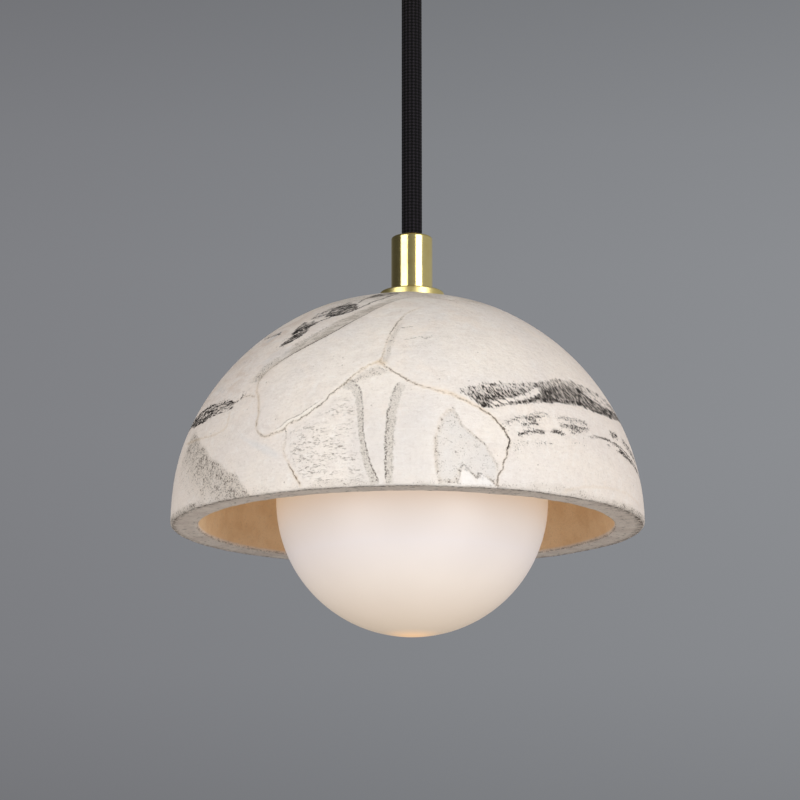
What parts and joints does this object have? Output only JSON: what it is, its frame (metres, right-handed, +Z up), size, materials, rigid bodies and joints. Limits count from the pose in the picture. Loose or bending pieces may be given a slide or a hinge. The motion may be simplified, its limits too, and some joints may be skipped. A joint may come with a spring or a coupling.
{
  "type": "dome pendant light",
  "caption": "Thick ceramic dome shade with an opal glass globe inside, hung by brass fittings on a black braided cord from a round ceiling rose.",
  "frame": {"origin": "centre of the mounting bracket's ceiling face, between its two fixing slots", "axes": "+Z up into the ceiling, and the light hangs along -Z; +X along the bracket; -Y faces the picture's viewer"},
  "size_m": [0.175, 0.175, 0.3101],
  "materials": {
    "bracket_zinc": "zinc-plated, satin",
    "steel": "zinc-plated, satin",
    "brass": "unlacquered, polished with fine drawn lines",
    "braid": "black textile braid, matt",
    "terminal_plastic": "pale translucent thermoplastic",
    "live_pvc": "brown insulation",
    "neutral_pvc": "blue insulation",
    "earth_pvc": "green and yellow insulation",
    "rubber": "matt",
    "stoneware": "hand-built marbled clay, smoothed outside, bare rim, tan inside",
    "silicone": "translucent white silicone",
    "holder_ceramic": "white steatite",
    "opal_glass": "white opal, lit from inside",
    "lamp_glass": "frosted cover",
    "led_board": "yellow phosphor on a white board"
  },
  "bodies": {
    "ceiling_plate": {"mounting_bracket": "bracket_zinc", "rose_side_screws": "brass"},
    "rose": {"rose_cup": "brass", "rose_cord_grip": "brass", "rose_grip_screw": "steel", "rose_rod": "brass", "rose_washer": "steel", "rose_nut": "steel", "cord_in_rose": "braid", "terminal_block": "terminal_plastic", "terminal_tubes": "brass", "terminal_screws": "steel", "rose_live_core": "live_pvc", "rose_neutral_core": "neutral_pvc", "rose_earth_core": "earth_pvc"},
    "bend": {"cord_bend": "braid"},
    "flex": {"cord": "braid"},
    "pendant": {"cord_grip": "brass", "grip_screw": "steel", "seating_ring": "brass", "top_gasket": "rubber", "shade": "stoneware", "bottom_gasket": "rubber", "steel_washer": "steel", "hollow_rod": "brass", "gallery": "brass", "lampholder_bracket": "steel", "earth_tag": "steel", "gallery_nut": "steel", "lampholder": "holder_ceramic", "lampholder_contacts": "brass", "lampholder_screws": "steel", "live_core": "live_pvc", "neutral_core": "neutral_pvc", "earth_core": "earth_pvc"},
    "seal": {"globe_seal": "silicone"},
    "globe": {"globe": "opal_glass"},
    "lamp": {"lamp_base": "holder_ceramic", "lamp_pins": "steel", "lamp_envelope": "lamp_glass", "led_column": "led_board"}
  },
  "joints": [
    {"name": "rose_drop", "type": "slide", "parent": "ceiling_plate", "child": "rose", "axis": [0, 0, -1], "range_m": [0, 0.03]},
    {"name": "swing_side", "type": "hinge", "parent": "rose", "child": "bend", "pos_m": [0, 0, -0.0545], "axis": [0, 1, 0], "range_deg": [-20, 20]},
    {"name": "swing_front", "type": "hinge", "parent": "bend", "child": "flex", "pos_m": [0, 0, -0.0545], "axis": [1, 0, 0], "range_deg": [-20, 20]},
    {"name": "twist", "type": "hinge", "parent": "flex", "child": "pendant", "pos_m": [0, 0, -0.1595], "axis": [0, 0, 1], "range_deg": [-90, 90], "stiffness_Nm_per_rad": 0.01},
    {"name": "globe_drop", "type": "slide", "parent": "pendant", "child": "seal", "axis": [0, 0, -1], "range_m": [0, 0.009]},
    {"name": "globe_turn", "type": "hinge", "parent": "seal", "child": "globe", "pos_m": [0, 0, -0.26007], "axis": [0, 0, -1], "range_deg": [0, 810]},
    {"name": "lamp_pull", "type": "slide", "parent": "pendant", "child": "lamp", "axis": [0, 0, -1], "range_m": [0, 0.012]}
  ],
  "couplings": [
    {"joint": "globe_drop", "follows": "globe_turn", "m_per_rad": 0.00063662}
  ]
}
